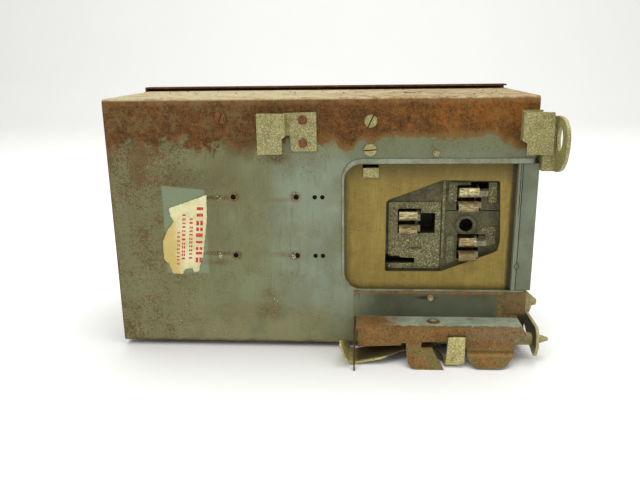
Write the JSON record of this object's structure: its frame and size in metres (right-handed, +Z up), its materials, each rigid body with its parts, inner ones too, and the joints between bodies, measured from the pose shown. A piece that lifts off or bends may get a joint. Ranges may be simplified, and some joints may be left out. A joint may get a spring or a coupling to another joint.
{
  "type": "busway plug-in fusible disconnect",
  "caption": "Sheet-steel plug-in switch box with rear hanger hooks, a clamp hood, a recessed stab block, a hookstick lever, knife blades, fuses and a hinged cover.",
  "frame": {"origin": "centre of the outer surface of the rear mounting face", "axes": "+X along the length towards the lever end, +Z up, -Y out of the rear face towards the busway, +Y towards the cover"},
  "size_m": [0.4291, 0.2134, 0.251],
  "materials": {
    "painted_sheet": "weathered blue-grey paint, rusting from the top edge",
    "rusty_steel": "paint worn off, brown rust",
    "zinc_plate": "dull yellowed zinc plate, granular",
    "bare_steel": "bare spring steel",
    "copper": "worn copper, bright at the contact edges",
    "fibre_board": "vulcanised fibre board, tan, fine vertical grain",
    "moulded_insulator": "glass-filled moulding, granular, grey-green",
    "paper": "aged cream paper",
    "fuse_tube": "fibre tube with brass ferrules",
    "base_plastic": "black phenolic moulding"
  },
  "bodies": {
    "enclosure": {"enclosure_wrapper": "painted_sheet", "end_plate_left": "painted_sheet", "end_plate_right": "painted_sheet", "end_channel": "painted_sheet", "opening_rim": "painted_sheet", "insulating_barrier": "fibre_board", "barrier_clip": "bare_steel", "stab_block": "moulded_insulator", "block_bolt": "bare_steel", "rear_screw_left": "rusty_steel", "rear_screw_middle": "zinc_plate", "rear_screw_barrier": "zinc_plate", "block_pin_upper": "zinc_plate", "block_pin_lower": "zinc_plate", "hanger_hook_left": "zinc_plate", "hanger_hook_right": "zinc_plate", "hook_rivet_upper": "rusty_steel", "hook_rivet_lower": "rusty_steel", "paper_label": "paper", "clamp_hood": "rusty_steel", "hood_end_plate": "rusty_steel", "stop_tab": "zinc_plate", "rotor_bearing": "bare_steel", "switch_base": "base_plastic", "ground_lug": "copper", "hinge_leaf": "painted_sheet", "hinge_pin": "bare_steel", "line_jaw_a": "copper", "jaw_spring_a": "bare_steel", "line_strap_a": "copper", "fuse_clip_upper_a": "copper", "fuse_clip_lower_a": "copper", "lug_screw_a": "bare_steel", "fuse_a": "fuse_tube", "line_jaw_b": "copper", "jaw_spring_b": "bare_steel", "line_strap_b": "copper", "fuse_clip_upper_b": "copper", "fuse_clip_lower_b": "copper", "lug_screw_b": "bare_steel", "fuse_b": "fuse_tube", "line_jaw_c": "copper", "jaw_spring_c": "bare_steel", "line_strap_c": "copper", "fuse_clip_upper_c": "copper", "fuse_clip_lower_c": "copper", "lug_screw_c": "bare_steel", "fuse_c": "fuse_tube"},
    "cover": {"cover": "painted_sheet"},
    "latch": {"cover_latch": "zinc_plate"},
    "switch_rotor": {"operating_lever": "zinc_plate", "lever_nut": "bare_steel", "operating_shaft": "bare_steel", "rotor_bar": "base_plastic", "moving_blade_a": "copper", "moving_blade_b": "copper", "moving_blade_c": "copper"},
    "clamp": {"clamp_shaft": "zinc_plate", "clamp_crank": "zinc_plate", "clamp_leaf": "zinc_plate"}
  },
  "joints": [
    {"name": "switch_throw", "type": "hinge", "parent": "enclosure", "child": "switch_rotor", "pos_m": [0, 0.052, 0.045], "axis": [-1, 0, 0], "range_deg": [0, 60]},
    {"name": "clamp_swing", "type": "hinge", "parent": "enclosure", "child": "clamp", "pos_m": [0.12, -0.014, -0.1065], "axis": [-1, 0, 0], "range_deg": [0, 8]},
    {"name": "cover_hinge", "type": "hinge", "parent": "enclosure", "child": "cover", "pos_m": [-0.2065, 0.1395, 0], "axis": [0, 0, 1], "range_deg": [0, 105]},
    {"name": "latch_turn", "type": "hinge", "parent": "cover", "child": "latch", "pos_m": [0.184, 0.16, -0.095], "axis": [0, -1, 0], "range_deg": [0, 90]}
  ]
}
